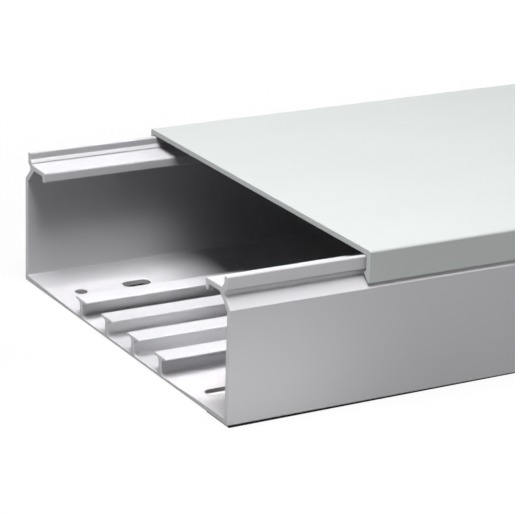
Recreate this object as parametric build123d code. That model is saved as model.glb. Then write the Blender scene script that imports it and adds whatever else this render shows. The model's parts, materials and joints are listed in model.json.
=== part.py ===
"""Wall trunking for cables: an extruded trough and the clip-on cover that slides along its rails.

Both profiles are one length of stock. X runs along the stock from the open end, Y runs across it from
the near wall to the far wall, and Z points up from the trough's flat underside. The origin is the
middle of that underside. Sections are drawn as (across, up) points, with "across" measured inwards
from the outer face of a side wall, and are mirrored to the other wall.
"""
from build123d import *
import math
import os

# Stock and outside, in millimetres
stock_length = 2000.0
width = 150.0
height = 50.0
cover_set_back = 49.0

# Trough walls: the floor thins from the side walls to the ribbed middle
wall = 2.0
floor_at_wall = 2.0
floor_in_middle = 1.0

# Rail on top of each side wall: a bend inwards, a neck and a flared lip
neck_undercut = 1.55
neck_height = 1.1
flare_rise = 1.0
lip_thickness = 1.95
lip_inner_height = 2.4
lip_foot = 1.0

# Cable-retaining shelf that runs inwards from below each lip's foot and ends in a turned-down edge
shelf_depth = 0.6
shelf_reach = 16.0
shelf_fall = 0.2
shelf_thickness = 1.9
shelf_edge_drop = 3.7
shelf_edge_thickness = 1.9

# T-shaped divider ribs on the floor
rib_count = 4
rib_pitch = 19.6
rib_height = 6.4
rib_width = 8.2
rib_edge = 0.8
rib_haunch = 0.4
rib_stem = 2.2

# Screw holes: groups of a staggered pair of round holes and a staggered pair of slots
hole_row_inset = 23.8
first_hole = 10.5
hole_stagger = 21.5
hole_group_pitch = 250.0
round_hole_diameter = 4.4
slot_width = 5.2
slot_length = 10.6

# Cover plate and its two clip flanges, which end a joint gap above the side walls
cover_plate = 2.0
cover_depth = 10.7
cover_flange = 2.0
flange_foot = 0.8
joint_gap = 1.6

# Clearances between the cover and the rails
lip_top_clearance = 0.2
lip_side_clearance = 0.25
clip_depth_clearance = 0.8
clip_slope_clearance = 0.6

# Edge radii of the extrusions
outer_edge = 0.4
cover_edge = 0.9
lip_edge = 0.5
small_edge = 0.25
shelf_edge_round = 0.7
inner_round = 0.6
rib_edge_round = 0.3
rib_round = 1.2

front = -stock_length / 2
near_face = -width / 2

# Rail heights and insets that the cover shares
bend_angle = math.radians(45)
flange_low = height - cover_depth
wall_height = flange_low - joint_gap
lip_inset = cover_flange + lip_side_clearance
neck_inset = lip_inset + neck_undercut
neck_low = wall_height + neck_inset * math.tan(bend_angle)
lip_top = height - cover_plate - lip_top_clearance
flare_low = neck_low + neck_height
flare_high = flare_low + flare_rise
flare_slope = flare_rise / neck_undercut


def section_face(points):
    """Closed face from (y, z, corner radius) points."""
    outline = FilletPolyline(
        [(y, z) for y, z, _ in points],
        radius=[radius for _, _, radius in points],
        close=True,
    )
    return make_face(outline)


def from_walls(half):
    """Points of one half, given as (inset, z, radius), at the near wall and mirrored to the far wall."""
    near = [(near_face + inset, z, radius) for inset, z, radius in half]
    far = [(-y, z, radius) for y, z, radius in reversed(near)]
    return near, far


def extruded(face, start):
    """The stock of one section, from its cut end at X = start."""
    return extrude(Plane((start, 0, 0), x_dir=(0, 1, 0), z_dir=(1, 0, 0)) * face, stock_length)


def rail_half():
    """Side wall with its rail and shelf, from the underside round to the floor's edge."""
    lip_inner = lip_inset + lip_thickness
    lip_root = lip_inner + lip_foot
    foot_high = lip_top - lip_inner_height
    foot_low = foot_high - lip_foot
    shelf_top = foot_low - shelf_depth
    shelf_under = shelf_top - shelf_thickness
    edge_inner = shelf_reach - shelf_edge_thickness
    edge_low = shelf_top - shelf_fall - shelf_edge_drop
    bend_drop = wall / math.cos(bend_angle)
    bend_inside = wall_height + wall * math.tan(bend_angle) - bend_drop
    shelf_root = (shelf_under - wall_height + bend_drop) / math.tan(bend_angle)
    return [
        (0, 0, outer_edge),
        (0, wall_height, outer_edge),
        (neck_inset, neck_low, lip_edge),
        (neck_inset, flare_low, lip_edge),
        (lip_inset, flare_high, lip_edge),
        (lip_inset, lip_top, lip_edge),
        (lip_inner, lip_top, lip_edge),
        (lip_inner, foot_high, small_edge),
        (lip_root, foot_low, small_edge),
        (lip_root, shelf_top, small_edge),
        (shelf_reach, shelf_top - shelf_fall, shelf_edge_round),
        (shelf_reach, edge_low, shelf_edge_round),
        (edge_inner, edge_low, shelf_edge_round),
        (edge_inner, shelf_under, inner_round),
        (shelf_root, shelf_under, inner_round),
        (wall, bend_inside, inner_round),
        (wall, floor_at_wall, inner_round),
    ]


def rib_points(centre):
    """One T-shaped rib, from its near foot over its top to its far foot."""
    top = floor_in_middle + rib_height
    under = top - rib_edge
    near = [
        (-rib_stem / 2, floor_in_middle, rib_round),
        (-rib_stem / 2, under - rib_haunch, rib_round),
        (-rib_width / 2, under, rib_edge_round),
        (-rib_width / 2, top, rib_edge_round),
    ]
    far = [(-y, z, radius) for y, z, radius in reversed(near)]
    return [(centre + y, z, radius) for y, z, radius in near + far]


def screw_holes():
    """Cutters for the screw holes: a round hole faces a slot, and the next station swaps them."""
    row = width / 2 - hole_row_inset
    depth = 2 * floor_at_wall
    round_hole = extrude(Circle(round_hole_diameter / 2), depth, both=True)
    slot = extrude(SlotOverall(slot_length, slot_width), depth, both=True)
    cutters = []
    for group in range(int(stock_length // hole_group_pitch)):
        first = front + first_hole + group * hole_group_pitch
        second = first + hole_stagger
        cutters += [
            Pos(first, row) * round_hole,
            Pos(first, -row) * slot,
            Pos(second, row) * slot,
            Pos(second, -row) * round_hole,
        ]
    return cutters


def trunking_base():
    """The trough: side walls with rails, thin floor, divider ribs and screw holes."""
    near, far = from_walls(rail_half())
    ribs = []
    for index in range(rib_count):
        ribs += rib_points((index - (rib_count - 1) / 2) * rib_pitch)
    return extruded(section_face(near + ribs + far), front) - screw_holes()


def clip_on_cover():
    """The cover: a flat plate whose flanges lap the lips and hook under their flare."""
    clip_inset = neck_inset - clip_depth_clearance
    clip_low = flange_low + (clip_inset - flange_foot) * math.tan(bend_angle)
    clip_high = flare_low - clip_slope_clearance + (neck_inset - clip_inset) * flare_slope
    flange_inside = flare_low - clip_slope_clearance + (neck_inset - cover_flange) * flare_slope
    near, far = from_walls([
        (cover_flange, height - cover_plate, lip_edge),
        (cover_flange, flange_inside, small_edge),
        (clip_inset, clip_high, small_edge),
        (clip_inset, clip_low, small_edge),
        (flange_foot, flange_low, small_edge),
        (0, flange_low, small_edge),
        (0, height, cover_edge),
    ])
    return extruded(section_face(near + far), front + cover_set_back)


os.makedirs("parts", exist_ok=True)
export_step(trunking_base(), "parts/trunking_base.step")
export_step(clip_on_cover(), "parts/clip_on_cover.step")
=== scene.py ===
"""Cable raceway: an extruded PVC trough and its clip-on cover, dressed and laid on a pale studio floor."""
import json
import math

import bmesh
import bpy
from bpy.props import FloatProperty, FloatVectorProperty, IntProperty, PointerProperty
from mathutils import Matrix, Vector


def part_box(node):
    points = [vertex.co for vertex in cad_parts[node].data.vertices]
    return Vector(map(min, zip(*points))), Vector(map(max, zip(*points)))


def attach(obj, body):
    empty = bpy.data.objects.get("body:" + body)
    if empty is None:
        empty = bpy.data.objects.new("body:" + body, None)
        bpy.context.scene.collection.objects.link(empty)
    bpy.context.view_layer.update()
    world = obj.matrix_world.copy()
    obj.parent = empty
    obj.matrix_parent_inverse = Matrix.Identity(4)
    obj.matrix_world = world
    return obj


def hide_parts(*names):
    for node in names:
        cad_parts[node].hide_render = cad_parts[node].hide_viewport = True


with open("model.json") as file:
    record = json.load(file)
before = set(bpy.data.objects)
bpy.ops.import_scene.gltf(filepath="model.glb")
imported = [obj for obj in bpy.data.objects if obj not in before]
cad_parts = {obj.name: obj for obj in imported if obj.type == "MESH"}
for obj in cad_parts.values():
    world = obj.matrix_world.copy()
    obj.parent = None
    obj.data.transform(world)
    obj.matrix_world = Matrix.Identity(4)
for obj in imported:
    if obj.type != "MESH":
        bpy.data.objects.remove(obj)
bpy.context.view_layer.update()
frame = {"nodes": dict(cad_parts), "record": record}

bl_info = {
    "name": "Cable Raceway",
    "version": (1, 0, 0),
    "blender": (4, 5, 0),
    "location": "View3D > Sidebar > Raceway",
    "description": "Builds an extruded cable raceway with its clip-on cover and a studio stage",
    "category": "Add Mesh",
}

MILLIMETRE = 0.001
FIT_TOLERANCE = 0.05 * MILLIMETRE
WELD_DISTANCE = 0.001 * MILLIMETRE
SENSOR_WIDTH = 36.0
PUNCH_SIDES = 48
WHITE = (1.0, 1.0, 1.0, 1.0)

# Least part along the stock of the normals at an end's points, and of a sawn face's normal
END_POINT_NORMAL = 0.1
SAWN_FACE_NORMAL = 0.9

# Grains per metre of the PVC's textures, along X, Y and Z
DIE_LINE_GRAINS = (2.0, 900.0, 900.0)
SATIN_GRAINS = (2600.0, 2600.0, 2600.0)
CLOUD_GRAINS = (14.0, 22.0, 22.0)
SAW_MARK_GRAINS = (1.0, 70.0, 1500.0)

# Part of the die lines' noise that the roughness follows
DIE_NOISE_LOW = 0.3
DIE_NOISE_HIGH = 0.7

PVC_IOR = 1.53
PVC_SPECULAR = 0.25

trough_low, trough_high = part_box("trunking_base")
mounts = {mount["name"]: mount for mount in frame["record"]["mounts"]}
pvc_colours = {finish["slot"]: finish["base_color"] for finish in frame["record"]["materials"]}


def first_slot(line):
    """X of the first slot in one of the record's lines of slots."""
    dims = mounts[line]["dims"]
    return mounts[line]["pos_m"][0] - (dims["count"] - 1) * dims["spacing_x_mm"] * MILLIMETRE / 2


near_line = mounts["front_near_slots"]
slot_pitch = near_line["dims"]["spacing_x_mm"] * MILLIMETRE


class RacewayStock(bpy.types.PropertyGroup):
    """Sizes of the two extrusions that are finished here."""

    edge_break: FloatProperty(
        name="Edge break",
        description="Width of the saw-cut ends' broken edges",
        default=0.15 * MILLIMETRE,
        unit="LENGTH",
        precision=5,
    )
    sharp_angle: FloatProperty(
        name="Sharp angle",
        description="Edges that turn by more than this are shaded sharp",
        default=math.radians(28),
        subtype="ANGLE",
    )


class RacewayHoles(bpy.types.PropertyGroup):
    """Screw holes punched in the trough's floor."""

    row_offset: FloatProperty(
        name="Row offset",
        description="Distance of each row of holes from the middle of the floor",
        default=abs(near_line["pos_m"][1]),
        unit="LENGTH",
    )
    first_near_slot: FloatProperty(
        name="First near slot",
        description="Place along the stock of the near row's first slot and the far row's first round hole",
        default=first_slot("front_near_slots"),
        unit="LENGTH",
    )
    first_far_slot: FloatProperty(
        name="First far slot",
        description="Place along the stock of the far row's first slot and the near row's first round hole",
        default=first_slot("front_far_slots"),
        unit="LENGTH",
    )
    pitch: FloatProperty(
        name="Pitch",
        description="Distance from one group of holes to the next",
        default=slot_pitch,
        unit="LENGTH",
    )
    groups: IntProperty(
        name="Groups",
        description="Groups of holes along the stock",
        default=int((trough_high.x - trough_low.x) / slot_pitch),
    )
    slot_width: FloatProperty(
        name="Slot width",
        description="Width of a slot across the stock",
        default=2 * near_line["dims"]["hole_r_mm"] * MILLIMETRE,
        unit="LENGTH",
    )
    slot_length: FloatProperty(
        name="Slot length",
        description="Length of a slot along the stock, ends included",
        default=near_line["dims"]["slot_length_mm"] * MILLIMETRE,
        unit="LENGTH",
    )
    round_diameter: FloatProperty(
        name="Round hole",
        description="Diameter of a round hole",
        default=4.4 * MILLIMETRE,
        unit="LENGTH",
    )
    punch_depth: FloatProperty(
        name="Punch depth",
        description="Height of the punches, which pass right through the floor",
        default=8 * MILLIMETRE,
        unit="LENGTH",
    )


class RacewayFinish(bpy.types.PropertyGroup):
    """Satin PVC of the trough and the cover."""

    trough_colour: FloatVectorProperty(
        name="Trough",
        description="Colour of the trough's PVC",
        default=pvc_colours["base_pvc"],
        subtype="COLOR",
        min=0,
        max=1,
    )
    cover_colour: FloatVectorProperty(
        name="Cover",
        description="Colour of the cover's PVC",
        default=pvc_colours["cover_pvc"],
        subtype="COLOR",
        min=0,
        max=1,
    )
    clouding: FloatProperty(
        name="Clouding",
        description="Share by which the PVC's tone drifts from place to place",
        default=0.05,
        subtype="FACTOR",
    )
    smooth_roughness: FloatProperty(
        name="Smoothest roughness",
        description="Roughness along the die's polished lines",
        default=0.5,
        subtype="FACTOR",
    )
    dull_roughness: FloatProperty(
        name="Dullest roughness",
        description="Roughness along the die's dull lines",
        default=0.62,
        subtype="FACTOR",
    )
    die_line_depth: FloatProperty(
        name="Die line depth",
        description="Depth of the fine lines that the extrusion die leaves along the stock",
        default=0.012 * MILLIMETRE,
        unit="LENGTH",
        precision=6,
    )
    grain_depth: FloatProperty(
        name="Grain depth",
        description="Depth of the fine satin grain",
        default=0.006 * MILLIMETRE,
        unit="LENGTH",
        precision=6,
    )
    saw_mark_depth: FloatProperty(
        name="Saw mark depth",
        description="Depth of the saw's strokes across the cut ends",
        default=0.03 * MILLIMETRE,
        unit="LENGTH",
        precision=6,
    )
    saw_angle: FloatProperty(
        name="Saw angle",
        description="Lean of the saw's strokes on the cut ends",
        default=math.radians(68),
        subtype="ANGLE",
    )
    speck_colour: FloatVectorProperty(
        name="Speck colour",
        description="Colour of the dark specks in the PVC",
        default=(0.5, 0.49, 0.49),
        subtype="COLOR",
        min=0,
        max=1,
    )
    speck_size: FloatProperty(
        name="Speck size",
        description="Radius of the largest dark specks in the PVC",
        default=0.22 * MILLIMETRE,
        unit="LENGTH",
        precision=5,
    )
    speck_spacing: FloatProperty(
        name="Speck spacing",
        description="Size of the cells that hold one speck each",
        default=14 * MILLIMETRE,
        unit="LENGTH",
    )


class RacewayStage(bpy.types.PropertyGroup):
    """Floor, dark card of painted shade under the trough, lamps and camera."""

    floor_size: FloatProperty(
        name="Floor size",
        description="Side of the square floor",
        default=120,
        unit="LENGTH",
    )
    floor_gap: FloatProperty(
        name="Floor gap",
        description="Gap between the trough's underside and the dark card, and between that and the floor",
        default=0.1 * MILLIMETRE,
        unit="LENGTH",
        precision=5,
    )
    floor_colour: FloatVectorProperty(
        name="Floor colour",
        description="Colour of the floor in the light that it throws back",
        default=(0.6, 0.6, 0.6),
        subtype="COLOR",
        min=0,
        max=1,
    )
    floor_white: FloatProperty(
        name="Floor white",
        description="Share of the floor's white that shadows leave untouched beside the trough",
        default=0.88,
        subtype="FACTOR",
    )
    shadow_reach: FloatProperty(
        name="Shadow reach",
        description="Distance from the trough at which the floor shows plain white",
        default=0.2,
        unit="LENGTH",
    )
    # Painted shade: the dark card under the trough stands in for the shadow beneath it, which shows through
    # the screw holes.
    shade_card_colour: FloatVectorProperty(
        name="Underlay colour",
        description="Colour of the dark card under the trough, which shows through the screw holes",
        default=(0.03, 0.032, 0.03),
        subtype="COLOR",
        min=0,
        max=1,
    )
    shade_card_set_back: FloatProperty(
        name="Underlay set-back",
        description="Distance of the dark card's front edge behind the open end, past the near slots",
        default=4 * MILLIMETRE,
        unit="LENGTH",
    )
    shade_card_notch: FloatProperty(
        name="Underlay notch",
        description="Width of the notch in the dark card under the near row's first slot",
        default=20 * MILLIMETRE,
        unit="LENGTH",
    )
    # Painted shadow: the card's margin beside the near wall's foot paints a thin contact shadow, narrowing
    # to nothing along the wall.
    contact_shadow_margin: FloatProperty(
        name="Underlay margin",
        description="Width of the dark card that shows beside the near wall's front corner",
        default=1.2 * MILLIMETRE,
        unit="LENGTH",
        precision=4,
    )
    contact_shadow_fade: FloatProperty(
        name="Underlay fade",
        description="Length along the near wall over which that margin narrows to nothing",
        default=110 * MILLIMETRE,
        unit="LENGTH",
    )
    ambient: FloatProperty(
        name="Ambient",
        description="Strength of the even light from all round",
        default=0.005,
    )
    key_power: FloatProperty(
        name="Key power",
        description="Power of the soft lamp over the open end",
        default=5.45,
        unit="POWER",
    )
    key_place: FloatVectorProperty(
        name="Key place",
        description="Place of the middle of the soft lamp over the open end",
        default=(-1.06, -0.15, 0.7),
        subtype="TRANSLATION",
    )
    key_size: FloatVectorProperty(
        name="Key size",
        description="Length of the key lamp along the stock, and its width",
        default=(0.33, 0.5),
        size=2,
        unit="LENGTH",
    )
    rear_power: FloatProperty(
        name="Rear power",
        description="Power of the soft lamp along the rest of the stock",
        default=3.2,
        unit="POWER",
    )
    rear_place: FloatVectorProperty(
        name="Rear place",
        description="Place of the middle of the soft lamp along the rest of the stock",
        default=(0.825, -0.25, 0.6),
        subtype="TRANSLATION",
    )
    rear_size: FloatVectorProperty(
        name="Rear size",
        description="Length of the rear lamp along the stock, and its width",
        default=(2.75, 0.3),
        size=2,
        unit="LENGTH",
    )
    rear_tilt: FloatProperty(
        name="Rear tilt",
        description="Angle by which the rear lamp leans over towards the stock",
        default=math.radians(22),
        subtype="ANGLE",
    )
    rear_spread: FloatProperty(
        name="Rear spread",
        description="Angle of the rear lamp's grid, which keeps its light off the open end",
        default=math.radians(60),
        subtype="ANGLE",
    )
    back_power: FloatProperty(
        name="Back power",
        description="Power of the soft lamp behind the far wall",
        default=12.0,
        unit="POWER",
    )
    back_place: FloatVectorProperty(
        name="Back place",
        description="Place of the middle of the soft lamp behind the far wall",
        default=(0.55, 0.9, 0.08),
        subtype="TRANSLATION",
    )
    back_size: FloatVectorProperty(
        name="Back size",
        description="Length of the back lamp along the stock, and its height",
        default=(3.3, 0.15),
        size=2,
        unit="LENGTH",
    )
    wall_power: FloatProperty(
        name="Wall power",
        description="Power of the low lamp before the near wall",
        default=1.76,
        unit="POWER",
    )
    wall_place: FloatVectorProperty(
        name="Wall place",
        description="Place of the middle of the low lamp before the near wall",
        default=(0.65, -0.3, 0.1),
        subtype="TRANSLATION",
    )
    wall_size: FloatVectorProperty(
        name="Wall size",
        description="Length of the low lamp along the stock, and its height",
        default=(3.1, 0.1),
        size=2,
        unit="LENGTH",
    )
    spot_power: FloatProperty(
        name="Spot power",
        description="Power of the narrow lamp over the far half of the trough's floor",
        default=0.0024,
        unit="POWER",
    )
    spot_place: FloatVectorProperty(
        name="Spot place",
        description="Place of the narrow lamp over the far half of the trough's floor",
        default=(-0.9915, 0.045, 0.25),
        subtype="TRANSLATION",
    )
    spot_size: FloatVectorProperty(
        name="Spot size",
        description="Length of the far narrow lamp along the stock, and its width",
        default=(0.067, 0.058),
        size=2,
        unit="LENGTH",
    )
    spot_spread: FloatProperty(
        name="Spot spread",
        description="Angle over which the light of the two narrow lamps spreads",
        default=math.radians(5),
        subtype="ANGLE",
    )
    near_spot_power: FloatProperty(
        name="Near spot power",
        description="Power of the narrow lamp over the floor between the near shelf and the ribs",
        default=0.0018,
        unit="POWER",
    )
    near_spot_place: FloatVectorProperty(
        name="Near spot place",
        description="Place of the narrow lamp over the floor between the near shelf and the ribs",
        default=(-0.9915, -0.047, 0.25),
        subtype="TRANSLATION",
    )
    near_spot_size: FloatVectorProperty(
        name="Near spot size",
        description="Length of the near narrow lamp along the stock, and its width",
        default=(0.067, 0.022),
        size=2,
        unit="LENGTH",
    )
    table_power: FloatProperty(
        name="Table power",
        description="Power of the light that the table before the open end throws up",
        default=0.08,
        unit="POWER",
    )
    table_place: FloatVectorProperty(
        name="Table place",
        description="Place of the middle of the lit table before the open end",
        default=(-1.153, -0.1, 0.5 * MILLIMETRE),
        subtype="TRANSLATION",
    )
    table_size: FloatVectorProperty(
        name="Table size",
        description="Length of the lit table along the stock, and its width",
        default=(0.3, 0.4),
        size=2,
        unit="LENGTH",
    )
    side_power: FloatProperty(
        name="Side power",
        description="Power of the small lamp on the table before the near wall's front corner",
        default=0.0088,
        unit="POWER",
    )
    side_place: FloatVectorProperty(
        name="Side place",
        description="Place of the small lamp on the table before the near wall's front corner",
        default=(-0.995, -0.13, 5 * MILLIMETRE),
        subtype="TRANSLATION",
    )
    side_size: FloatVectorProperty(
        name="Side size",
        description="Length of the lamp before the near wall's corner, and its height",
        default=(60 * MILLIMETRE, 8 * MILLIMETRE),
        size=2,
        unit="LENGTH",
    )
    rib_power: FloatProperty(
        name="Rib power",
        description="Power of the small lamp on the near wall's inside, which lights the ribs' sides",
        default=0.0022,
        unit="POWER",
    )
    rib_place: FloatVectorProperty(
        name="Rib place",
        description="Place of the small lamp on the near wall's inside",
        default=(-0.98, -0.0695, 31.5 * MILLIMETRE),
        subtype="TRANSLATION",
    )
    rib_size: FloatVectorProperty(
        name="Rib size",
        description="Length of the lamp on the ribs along the stock, and its height",
        default=(44 * MILLIMETRE, 14 * MILLIMETRE),
        size=2,
        unit="LENGTH",
    )
    rib_tilt: FloatProperty(
        name="Rib tilt",
        description="Angle by which the lamp on the ribs looks down",
        default=math.radians(18),
        subtype="ANGLE",
    )
    rib_spread: FloatProperty(
        name="Rib spread",
        description="Angle over which the light on the ribs spreads",
        default=math.radians(40),
        subtype="ANGLE",
    )
    end_light: FloatProperty(
        name="End light",
        description="Strength of the narrow light that shines along the stock onto its sawn front ends",
        default=1.25,
    )
    end_light_spread: FloatProperty(
        name="End light spread",
        description="Angle over which the light on the sawn ends spreads",
        default=math.radians(2),
        subtype="ANGLE",
    )
    camera_place: FloatVectorProperty(
        name="Camera place",
        description="Place of the camera",
        default=(-1.35977, -0.72328, 0.30762),
        subtype="TRANSLATION",
    )
    camera_azimuth: FloatProperty(
        name="Azimuth",
        description="Side that the camera looks from; at zero it looks along +Y",
        default=math.radians(-29.63),
        subtype="ANGLE",
    )
    camera_elevation: FloatProperty(
        name="Elevation",
        description="Angle by which the camera looks down",
        default=math.radians(18.81),
        subtype="ANGLE",
    )
    camera_roll: FloatProperty(
        name="Roll",
        description="Turn of the picture about the line of sight",
        default=math.radians(1.7),
        subtype="ANGLE",
    )
    camera_lens: FloatProperty(
        name="Lens",
        description="Focal length on a 36 mm wide sensor",
        default=182.3,
        unit="CAMERA",
    )


class NodeBench:
    """Adds nodes to one tree, with their inputs given as numbers or as other nodes' outputs."""

    def __init__(self, tree):
        self.tree = tree

    def add(self, kind, inputs=None, **options):
        """A new node. Keys of inputs are socket names, or places where names repeat."""
        node = self.tree.nodes.new(kind)
        for name, value in options.items():
            setattr(node, name, value)
        for key, value in (inputs or {}).items():
            values = value if isinstance(value, list) else [value]
            for one in values:
                if isinstance(one, bpy.types.NodeSocket):
                    self.tree.links.new(one, node.inputs[key])
                else:
                    node.inputs[key].default_value = one
        return node

    def math(self, operation, first, second=0.0):
        """The result of a Math node on one or two values."""
        return self.add("ShaderNodeMath", {0: first, 1: second}, operation=operation).outputs[0]


def empty_material(name):
    """A new material with no nodes yet, and its bench."""
    material = bpy.data.materials.new(name)
    material.use_nodes = True
    material.node_tree.nodes.clear()
    return material, NodeBench(material.node_tree)


def geometry_tree(name, sockets):
    """A Geometry Nodes tree with the named inputs, its bench, and the sockets that give those inputs."""
    tree = bpy.data.node_groups.new(name, "GeometryNodeTree")
    tree.interface.new_socket("Geometry", in_out="INPUT", socket_type="NodeSocketGeometry")
    for socket, kind in sockets:
        tree.interface.new_socket(socket, in_out="INPUT", socket_type=kind)
    tree.interface.new_socket("Geometry", in_out="OUTPUT", socket_type="NodeSocketGeometry")
    bench = NodeBench(tree)
    return tree, bench, bench.add("NodeGroupInput").outputs


def smooth_and_coat(bench, geometry, sharp_angle, material):
    """Shades a shape smooth up to its sharp edges, gives it its material and ends the tree."""
    smooth = bench.add(
        "GeometryNodeSetShadeSmooth",
        {"Geometry": geometry, "Shade Smooth": True},
        domain="FACE",
    )
    angle = bench.add("GeometryNodeInputMeshEdgeAngle").outputs["Unsigned Angle"]
    sharp = bench.math("GREATER_THAN", angle, sharp_angle)
    edged = bench.add(
        "GeometryNodeSetShadeSmooth",
        {"Geometry": smooth.outputs[0], "Selection": sharp, "Shade Smooth": False},
        domain="EDGE",
    )
    whole = bench.add("GeometryNodeRealizeInstances", {"Geometry": edged.outputs[0]})
    coated = bench.add("GeometryNodeSetMaterial", {"Geometry": whole.outputs[0], "Material": material})
    bench.add("NodeGroupOutput", {"Geometry": coated.outputs[0]})


def sawn_extrusion_tree():
    """Draws a section out along X and breaks the edges of its two sawn ends."""
    tree, bench, given = geometry_tree("Sawn extrusion", [
        ("Length", "NodeSocketFloat"),
        ("Edge Break", "NodeSocketFloat"),
        ("Sharp Angle", "NodeSocketFloat"),
        ("Material", "NodeSocketMaterial"),
    ])
    section, edge_break = given["Geometry"], given["Edge Break"]
    body_length = bench.math("SUBTRACT", given["Length"], bench.math("MULTIPLY", edge_break, 2.0))
    drawn = bench.add("GeometryNodeFlipFaces", {"Mesh": section}).outputs[0]
    along = bench.add("ShaderNodeCombineXYZ", {"X": 1.0}).outputs[0]
    end_face = True
    for run in (edge_break, body_length, edge_break):
        step = bench.add("GeometryNodeExtrudeMesh", {
            "Mesh": drawn,
            "Selection": end_face,
            "Offset": along,
            "Offset Scale": run,
            "Individual": False,
        }, mode="FACES")
        drawn, end_face = step.outputs["Mesh"], step.outputs["Top"]
    capped = bench.add("GeometryNodeJoinGeometry", {"Geometry": [section, drawn]})
    closed = bench.add("GeometryNodeMergeByDistance", {
        "Geometry": capped.outputs[0],
        "Distance": WELD_DISTANCE,
    })

    normal = bench.add("ShaderNodeSeparateXYZ", {0: bench.add("GeometryNodeInputNormal").outputs[0]})
    across = bench.add("ShaderNodeCombineXYZ", {"Y": normal.outputs["Y"], "Z": normal.outputs["Z"]})
    outwards = bench.add("ShaderNodeVectorMath", {0: across.outputs[0]}, operation="NORMALIZE")
    inset = bench.add("ShaderNodeVectorMath", {
        0: outwards.outputs[0],
        "Scale": bench.math("MULTIPLY", edge_break, -1.0),
    }, operation="SCALE")
    at_an_end = bench.math("GREATER_THAN", bench.math("ABSOLUTE", normal.outputs["X"]), END_POINT_NORMAL)
    broken = bench.add("GeometryNodeSetPosition", {
        "Geometry": closed.outputs[0],
        "Selection": at_an_end,
        "Offset": inset.outputs[0],
    })
    face_normal = bench.add("ShaderNodeSeparateXYZ", {0: bench.add("GeometryNodeInputNormal").outputs[0]})
    sawn = bench.math("GREATER_THAN", bench.math("ABSOLUTE", face_normal.outputs["X"]), SAWN_FACE_NORMAL)
    marked = bench.add("GeometryNodeStoreNamedAttribute", {
        "Geometry": broken.outputs[0],
        "Name": "sawn_end",
        "Value": sawn,
    }, data_type="FLOAT", domain="FACE")
    smooth_and_coat(bench, marked.outputs[0], given["Sharp Angle"], given["Material"])
    return tree


def punched_floor_tree():
    """Punches two rows of screw holes, in which slots and round holes take turns."""
    tree, bench, given = geometry_tree("Punched floor", [
        ("Row Offset", "NodeSocketFloat"),
        ("First Near Slot", "NodeSocketFloat"),
        ("First Far Slot", "NodeSocketFloat"),
        ("Pitch", "NodeSocketFloat"),
        ("Groups", "NodeSocketInt"),
        ("Slot Width", "NodeSocketFloat"),
        ("Slot Length", "NodeSocketFloat"),
        ("Round Diameter", "NodeSocketFloat"),
        ("Punch Depth", "NodeSocketFloat"),
        ("Sharp Angle", "NodeSocketFloat"),
        ("Material", "NodeSocketMaterial"),
    ])

    def round_punch(diameter):
        return bench.add("GeometryNodeMeshCylinder", {
            "Vertices": PUNCH_SIDES,
            "Radius": bench.math("MULTIPLY", diameter, 0.5),
            "Depth": given["Punch Depth"],
        }).outputs["Mesh"]

    def moved(geometry, x):
        place = bench.add("ShaderNodeCombineXYZ", {"X": x})
        return bench.add("GeometryNodeTransform", {
            "Geometry": geometry,
            "Translation": place.outputs[0],
        }).outputs[0]

    slot_end = round_punch(given["Slot Width"])
    slot_run = bench.math("SUBTRACT", given["Slot Length"], given["Slot Width"])
    forwards = moved(slot_end, bench.math("MULTIPLY", slot_run, 0.5))
    backwards = moved(slot_end, bench.math("MULTIPLY", slot_run, -0.5))
    slot_ends = bench.add("GeometryNodeJoinGeometry", {"Geometry": [forwards, backwards]})
    slot_punch = bench.add("GeometryNodeConvexHull", {"Geometry": slot_ends.outputs[0]}).outputs[0]
    hole_punch = round_punch(given["Round Diameter"])

    step = bench.add("ShaderNodeCombineXYZ", {"X": given["Pitch"]})
    far_row = given["Row Offset"]
    near_row = bench.math("MULTIPLY", far_row, -1.0)
    punches = []
    for punch, first, row in (
        (slot_punch, given["First Near Slot"], near_row),
        (hole_punch, given["First Near Slot"], far_row),
        (slot_punch, given["First Far Slot"], far_row),
        (hole_punch, given["First Far Slot"], near_row),
    ):
        start = bench.add("ShaderNodeCombineXYZ", {"X": first, "Y": row})
        line = bench.add("GeometryNodeMeshLine", {
            "Count": given["Groups"],
            "Start Location": start.outputs[0],
            "Offset": step.outputs[0],
        })
        placed = bench.add("GeometryNodeInstanceOnPoints", {"Points": line.outputs[0], "Instance": punch})
        solid = bench.add("GeometryNodeRealizeInstances", {"Geometry": placed.outputs[0]})
        punches.append(solid.outputs[0])
    punched = bench.add(
        "GeometryNodeMeshBoolean",
        {"Mesh 1": given["Geometry"], "Mesh 2": punches},
        operation="DIFFERENCE",
        solver="EXACT",
    )
    smooth_and_coat(bench, punched.outputs["Mesh"], given["Sharp Angle"], given["Material"])
    return tree


def add_tree(piece, tree, values):
    """Puts a Geometry Nodes tree on a piece, with its inputs set by their sockets' identifiers."""
    modifier = piece.modifiers.new(tree.name, "NODES")
    modifier.node_group = tree
    for socket in tree.interface.items_tree:
        if socket.in_out == "INPUT" and socket.name in values:
            modifier[socket.identifier] = values[socket.name]


def cut_end(node):
    """Outline of a CAD node's cut end at its lowest X, as a closed run of points."""
    shape = bmesh.new()
    shape.from_mesh(frame["nodes"][node].data)
    bmesh.ops.remove_doubles(shape, verts=shape.verts, dist=WELD_DISTANCE)
    end_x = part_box(node)[0].x
    at_end = {vert for vert in shape.verts if abs(vert.co.x - end_x) < WELD_DISTANCE}
    cap = {face for face in shape.faces if at_end.issuperset(face.verts)}
    rim = {edge for edge in shape.edges if sum(face in cap for face in edge.link_faces) == 1}
    edge = min(rim, key=lambda one: one.index)
    start = vert = edge.verts[0]
    outline = []
    while not outline or vert is not start:
        outline.append(vert.co.copy())
        vert = edge.other_vert(vert)
        edge = next(other for other in vert.link_edges if other in rim and other is not edge)
    shape.free()
    return outline


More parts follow.
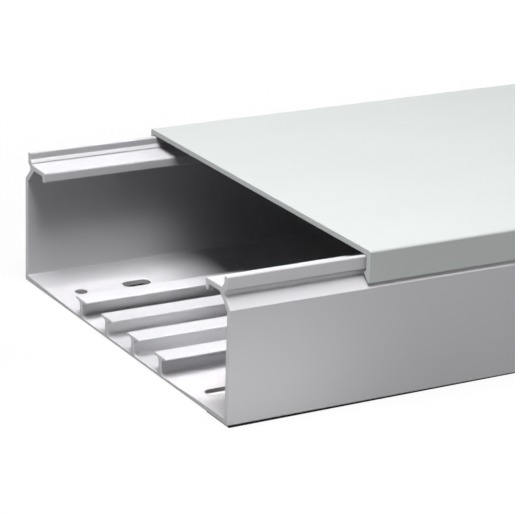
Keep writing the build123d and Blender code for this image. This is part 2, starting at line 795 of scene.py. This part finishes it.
def section_piece(name, node):
    """A new piece that holds only the node's section, as one face that looks out of the cut end."""
    outline = cut_end(node)
    mesh = bpy.data.meshes.new(name)
    mesh.from_pydata(outline, [], [range(len(outline))])
    if mesh.polygons[0].normal.x > 0:
        mesh.flip_normals()
    piece = bpy.data.objects.new(name, mesh)
    bpy.context.scene.collection.objects.link(piece)
    return piece


def make_plain(piece):
    """Turns what the piece's modifiers make into its own plain mesh."""
    weighted = piece.modifiers.new("Weighted normals", "WEIGHTED_NORMAL")
    weighted.keep_sharp = True
    depsgraph = bpy.context.evaluated_depsgraph_get()
    made = bpy.data.meshes.new_from_object(
        piece.evaluated_get(depsgraph), preserve_all_data_layers=True, depsgraph=depsgraph
    )
    section = piece.data
    piece.modifiers.clear()
    piece.data = made
    bpy.data.meshes.remove(section)
    made.name = piece.name


def draw_out(piece, node, material):
    """Draws a piece's section out to the node's length."""
    stock = bpy.context.scene.raceway_stock
    low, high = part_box(node)
    add_tree(piece, sawn_extrusion_tree(), {
        "Length": high.x - low.x,
        "Edge Break": stock.edge_break,
        "Sharp Angle": stock.sharp_angle,
        "Material": material,
    })


def blend_colours(bench, factor, first, second):
    """Mixes two colours, each given as three numbers or as another node's output."""
    ends = [one if isinstance(one, bpy.types.NodeSocket) else (*one, 1.0) for one in (first, second)]
    mix = bench.add("ShaderNodeMix", {0: factor, 6: ends[0], 7: ends[1]}, data_type="RGBA")
    return mix.outputs[2]


def stretched_noise(bench, place, scale, turn=0.0, detail=2.0):
    """Noise whose grains measure one over the scale along each axis, turned about X."""
    mapping = bench.add("ShaderNodeMapping", {
        "Vector": place,
        "Rotation": (turn, 0.0, 0.0),
        "Scale": scale,
    })
    noise = bench.add("ShaderNodeTexNoise", {"Vector": mapping.outputs[0], "Scale": 1.0, "Detail": detail})
    return noise.outputs["Fac"]


def pvc(name, colour):
    """Satin PVC: die lines along the stock, faint clouding, a few specks, and saw marks on cut ends."""
    finish = bpy.context.scene.raceway_finish
    material, bench = empty_material(name)
    place = bench.add("ShaderNodeTexCoord").outputs["Object"]
    die_lines = stretched_noise(bench, place, DIE_LINE_GRAINS, detail=3.0)
    grain = stretched_noise(bench, place, SATIN_GRAINS)
    clouds = stretched_noise(bench, place, CLOUD_GRAINS, detail=4.0)
    saw_marks = stretched_noise(bench, place, SAW_MARK_GRAINS, turn=finish.saw_angle)
    sawn = bench.add("ShaderNodeAttribute", attribute_name="sawn_end").outputs["Fac"]

    cells = bench.add("ShaderNodeTexVoronoi", {"Vector": place, "Scale": 1 / finish.speck_spacing})
    chance = bench.add("ShaderNodeSeparateColor", {"Color": cells.outputs["Color"]}).outputs["Red"]
    reach = bench.math("MULTIPLY", chance, finish.speck_size / finish.speck_spacing)
    speck = bench.math("LESS_THAN", cells.outputs["Distance"], reach)

    darker = [(1 - finish.clouding) * part for part in colour]
    paler = [min(1.0, (1 + finish.clouding) * part) for part in colour]
    tone = blend_colours(bench, clouds, darker, paler)
    cut = blend_colours(bench, bench.math("MULTIPLY", sawn, saw_marks), tone, paler)
    specked = blend_colours(bench, speck, cut, finish.speck_colour)

    sheen = bench.add("ShaderNodeMapRange", {
        "Value": die_lines,
        "From Min": DIE_NOISE_LOW,
        "From Max": DIE_NOISE_HIGH,
        "To Min": finish.smooth_roughness,
        "To Max": finish.dull_roughness,
    }).outputs[0]
    saw_height = bench.math("MULTIPLY", bench.math("MULTIPLY", sawn, saw_marks), finish.saw_mark_depth)
    die_height = bench.math("MULTIPLY", die_lines, finish.die_line_depth)
    grain_height = bench.math("MULTIPLY", grain, finish.grain_depth)
    height = bench.math("ADD", saw_height, bench.math("ADD", die_height, grain_height))
    bump = bench.add("ShaderNodeBump", {"Height": height, "Strength": 1.0, "Distance": 1.0})
    shader = bench.add("ShaderNodeBsdfPrincipled", {
        "Base Color": specked,
        "Roughness": sheen,
        "Normal": bump.outputs[0],
        "IOR": PVC_IOR,
        "Specular IOR Level": PVC_SPECULAR,
    })
    bench.add("ShaderNodeOutputMaterial", {"Surface": shader.outputs[0]})
    return material


def dress(piece, node, body):
    """Checks a finished piece against its CAD node, and puts it in the node's place on its body."""
    corners = [Vector(corner) for corner in piece.bound_box]
    for place, pick in zip(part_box(node), (min, max)):
        reached = Vector([pick(corner[axis] for corner in corners) for axis in range(3)])
        if (reached - place).length > FIT_TOLERANCE:
            raise RuntimeError(f"{piece.name} doesn't fill the box of {node}: {reached} is not {place}")
    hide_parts(node)
    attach(piece, body)


class RACEWAY_OT_trough(bpy.types.Operator):
    """Make the trough: an extruded section with sawn ends and punched screw holes"""

    bl_idname = "raceway.trough"
    bl_label = "Make Trough"

    def execute(self, context):
        holes = context.scene.raceway_holes
        stock = context.scene.raceway_stock
        material = pvc("Trough PVC", context.scene.raceway_finish.trough_colour)
        trough = section_piece("raceway_trough", "trunking_base")
        draw_out(trough, "trunking_base", material)
        add_tree(trough, punched_floor_tree(), {
            "Row Offset": holes.row_offset,
            "First Near Slot": holes.first_near_slot,
            "First Far Slot": holes.first_far_slot,
            "Pitch": holes.pitch,
            "Groups": holes.groups,
            "Slot Width": holes.slot_width,
            "Slot Length": holes.slot_length,
            "Round Diameter": holes.round_diameter,
            "Punch Depth": holes.punch_depth,
            "Sharp Angle": stock.sharp_angle,
            "Material": material,
        })
        make_plain(trough)
        dress(trough, "trunking_base", "trough")
        return {"FINISHED"}


class RACEWAY_OT_cover(bpy.types.Operator):
    """Make the clip-on cover: an extruded section with sawn ends"""

    bl_idname = "raceway.cover"
    bl_label = "Make Cover"

    def execute(self, context):
        material = pvc("Cover PVC", context.scene.raceway_finish.cover_colour)
        cover = section_piece("raceway_cover", "clip_on_cover")
        draw_out(cover, "clip_on_cover", material)
        make_plain(cover)
        dress(cover, "clip_on_cover", "cover")
        return {"FINISHED"}


def flat_sheet(name, corners, depth, material):
    """A level sheet below the trough's underside, kept apart from the object."""
    mesh = bpy.data.meshes.new(name)
    mesh.from_pydata([(x, y, -depth) for x, y in corners], [], [range(len(corners))])
    mesh.materials.append(material)
    sheet = bpy.data.objects.new(name, mesh)
    bpy.context.scene.collection.objects.link(sheet)


def seen_directly(bench):
    """One for rays that show the background: from the camera, in gloss or through glass."""
    path = bench.add("ShaderNodeLightPath").outputs
    shown = bench.math("MAXIMUM", path["Is Camera Ray"], path["Is Glossy Ray"])
    return bench.math("MAXIMUM", shown, path["Is Transmission Ray"])


def floor_paint(stage):
    """A pale floor that shows white, and keeps the object's shadow close round it."""
    material, bench = empty_material("Pale floor")
    place = bench.add("ShaderNodeTexCoord").outputs["Object"]
    folded = bench.add("ShaderNodeVectorMath", {0: place}, operation="ABSOLUTE").outputs[0]
    footprint = (trough_high.x, trough_high.y, 1.0)
    beyond = bench.add("ShaderNodeVectorMath", {0: folded, 1: footprint}, operation="SUBTRACT")
    zero = (0.0, 0.0, 0.0)
    outside = bench.add("ShaderNodeVectorMath", {0: beyond.outputs[0], 1: zero}, operation="MAXIMUM")
    distance = bench.add("ShaderNodeVectorMath", {0: outside.outputs[0]}, operation="LENGTH")
    white = bench.add("ShaderNodeMapRange", {
        "Value": distance.outputs["Value"],
        "From Min": 0.0,
        "From Max": stage.shadow_reach,
        "To Min": stage.floor_white,
        "To Max": 1.0,
    }, interpolation_type="SMOOTHSTEP").outputs[0]
    lit = bench.add("ShaderNodeBsdfDiffuse", {"Color": WHITE})
    glow = bench.add("ShaderNodeEmission", {"Color": WHITE, "Strength": 1.0})
    shown = bench.add("ShaderNodeMixShader", {0: white, 1: lit.outputs[0], 2: glow.outputs[0]})
    bounce = bench.add("ShaderNodeBsdfDiffuse", {"Color": (*stage.floor_colour, 1.0)})
    direct = seen_directly(bench)
    paint = bench.add("ShaderNodeMixShader", {0: direct, 1: bounce.outputs[0], 2: shown.outputs[0]})
    bench.add("ShaderNodeOutputMaterial", {"Surface": paint.outputs[0]})
    return material


def shade_card_outline(stage):
    """Corners of the dark card of painted shade under the trough: a margin by the near wall that paints its
    contact shadow, and a notch under the near row's first slot.
    """
    front, rear, near, far = trough_low.x, trough_high.x, trough_low.y, trough_high.y
    slot_y = near_line["pos_m"][1]
    notch_x = first_slot("front_near_slots") + stage.shade_card_notch
    notch_low = slot_y - stage.shade_card_notch / 2
    notch_high = slot_y + stage.shade_card_notch / 2
    set_back = front + stage.shade_card_set_back
    return [
        (front, near - stage.contact_shadow_margin),
        (front + stage.contact_shadow_fade, near),
        (rear, near),
        (rear, far),
        (set_back, far),
        (set_back, notch_high),
        (notch_x, notch_high),
        (notch_x, notch_low),
        (front, notch_low),
    ]


def shade_card_paint(stage):
    """Matt dark card: painted shade that shows through the screw holes and beside the near wall's foot."""
    material, bench = empty_material("Painted shade card")
    matt = bench.add("ShaderNodeBsdfDiffuse", {"Color": (*stage.shade_card_colour, 1.0), "Roughness": 1.0})
    bench.add("ShaderNodeOutputMaterial", {"Surface": matt.outputs[0]})
    return material


def studio_world(stage):
    """Even light from all round, behind a background that shows white."""
    world = bpy.data.worlds.new("Studio")
    world.use_nodes = True
    world.node_tree.nodes.clear()
    bench = NodeBench(world.node_tree)
    even = bench.add("ShaderNodeBackground", {"Color": WHITE, "Strength": stage.ambient})
    white = bench.add("ShaderNodeBackground", {"Color": WHITE, "Strength": 1.0})
    direct = seen_directly(bench)
    mix = bench.add("ShaderNodeMixShader", {0: direct, 1: even.outputs[0], 2: white.outputs[0]})
    bench.add("ShaderNodeOutputWorld", {"Surface": mix.outputs[0]})
    bpy.context.scene.world = world


def lamp(name, kind, power, place, aim):
    """A lamp at a place, shining the way it is aimed. It lights only what it shines on."""
    data = bpy.data.lights.new(name, kind)
    data.energy = power
    data.cycles.max_bounces = 0
    made = bpy.data.objects.new(name, data)
    made.location = place
    made.visible_camera = False
    made.rotation_euler = Vector(aim).to_track_quat("-Z", "Y").to_euler()
    bpy.context.scene.collection.objects.link(made)
    return data


def soft_lamp(name, power, place, aim, size):
    """A rectangular soft lamp, with its length along the stock."""
    data = lamp(name, "AREA", power, place, aim)
    data.shape = "RECTANGLE"
    data.size, data.size_y = size
    return data


def hang_lamps(stage):
    """Soft lamps round the stock, and small ones at its open end. The inside stays dark."""
    down, up, across = (0, 0, -1), (0, 0, 1), (0, 1, 0)
    lean = (0, math.sin(stage.rear_tilt), -math.cos(stage.rear_tilt))
    to_far_wall = (0, -stage.back_place[1], -stage.back_place[2])
    to_ribs = (0, math.cos(stage.rib_tilt), -math.sin(stage.rib_tilt))
    beyond_end = (2 * trough_low.x, 0.0, trough_high.z)
    soft_lamp("key_lamp", stage.key_power, stage.key_place, down, stage.key_size)
    rear = soft_lamp("rear_lamp", stage.rear_power, stage.rear_place, lean, stage.rear_size)
    rear.spread = stage.rear_spread
    soft_lamp("back_lamp", stage.back_power, stage.back_place, to_far_wall, stage.back_size)
    soft_lamp("wall_lamp", stage.wall_power, stage.wall_place, across, stage.wall_size)
    spot = soft_lamp("spot_lamp", stage.spot_power, stage.spot_place, down, stage.spot_size)
    spot.spread = stage.spot_spread
    near_spot = soft_lamp(
        "near_spot", stage.near_spot_power, stage.near_spot_place, down, stage.near_spot_size
    )
    near_spot.spread = stage.spot_spread
    soft_lamp("table_light", stage.table_power, stage.table_place, up, stage.table_size)
    soft_lamp("side_lamp", stage.side_power, stage.side_place, across, stage.side_size)
    rib = soft_lamp("rib_lamp", stage.rib_power, stage.rib_place, to_ribs, stage.rib_size)
    rib.spread = stage.rib_spread
    end_lamp = lamp("end_lamp", "SUN", stage.end_light, beyond_end, (1, 0, 0))
    end_lamp.angle = stage.end_light_spread


def photo_camera(stage):
    """The camera, from its place, azimuth, elevation and roll."""
    azimuth, elevation, roll = stage.camera_azimuth, stage.camera_elevation, stage.camera_roll
    level = math.cos(elevation)
    back = Vector((math.sin(azimuth) * level, -math.cos(azimuth) * level, math.sin(elevation)))
    right = Vector((math.cos(azimuth), math.sin(azimuth), 0.0))
    turned_right = right * math.cos(roll) + back.cross(right) * math.sin(roll)
    axes = Matrix((turned_right, back.cross(turned_right), back)).transposed()
    data = bpy.data.cameras.new("Camera")
    data.lens = stage.camera_lens
    data.sensor_width = SENSOR_WIDTH
    camera = bpy.data.objects.new("Camera", data)
    camera.matrix_world = Matrix.Translation(stage.camera_place) @ axes.to_4x4()
    bpy.context.scene.collection.objects.link(camera)
    bpy.context.scene.camera = camera


class RACEWAY_OT_stage(bpy.types.Operator):
    """Lay the floor and the dark card of painted shade, hang the lamps and set the camera"""

    bl_idname = "raceway.stage"
    bl_label = "Set Stage"

    def execute(self, context):
        stage = context.scene.raceway_stage
        context.scene.view_settings.view_transform = "Standard"
        half = stage.floor_size / 2
        floor_corners = [(-half, -half), (half, -half), (half, half), (-half, half)]
        flat_sheet("floor", floor_corners, 2 * stage.floor_gap, floor_paint(stage))
        # The dark card is painted shade: the shadow under the trough, seen through the holes, and a contact
        # shadow by the near wall.
        flat_sheet("painted_shade_card", shade_card_outline(stage), stage.floor_gap, shade_card_paint(stage))
        studio_world(stage)
        hang_lamps(stage)
        photo_camera(stage)
        return {"FINISHED"}


class RACEWAY_PT_sidebar(bpy.types.Panel):
    """Sizes, finishes and steps of the raceway"""

    bl_idname = "RACEWAY_PT_sidebar"
    bl_label = "Cable Raceway"
    bl_space_type = "VIEW_3D"
    bl_region_type = "UI"
    bl_category = "Raceway"

    def draw(self, context):
        for operator in operators:
            self.layout.operator(operator.bl_idname)
        for name, group in settings.items():
            box = self.layout.box()
            box.label(text=group.__doc__)
            for value in group.__annotations__:
                box.prop(getattr(context.scene, name), value)


settings = {
    "raceway_stock": RacewayStock,
    "raceway_holes": RacewayHoles,
    "raceway_finish": RacewayFinish,
    "raceway_stage": RacewayStage,
}
operators = (RACEWAY_OT_trough, RACEWAY_OT_cover, RACEWAY_OT_stage)


def register():
    """Registers the settings, operators and panel."""
    for name, group in settings.items():
        bpy.utils.register_class(group)
        setattr(bpy.types.Scene, name, PointerProperty(type=group))
    for made in (*operators, RACEWAY_PT_sidebar):
        bpy.utils.register_class(made)


def unregister():
    """Takes back what register added."""
    for made in (RACEWAY_PT_sidebar, *reversed(operators)):
        bpy.utils.unregister_class(made)
    for name, group in reversed(settings.items()):
        delattr(bpy.types.Scene, name)
        bpy.utils.unregister_class(group)


def main():
    register()
    bpy.ops.raceway.trough()
    bpy.ops.raceway.cover()
    bpy.ops.raceway.stage()


if __name__ == "__main__":
    main()
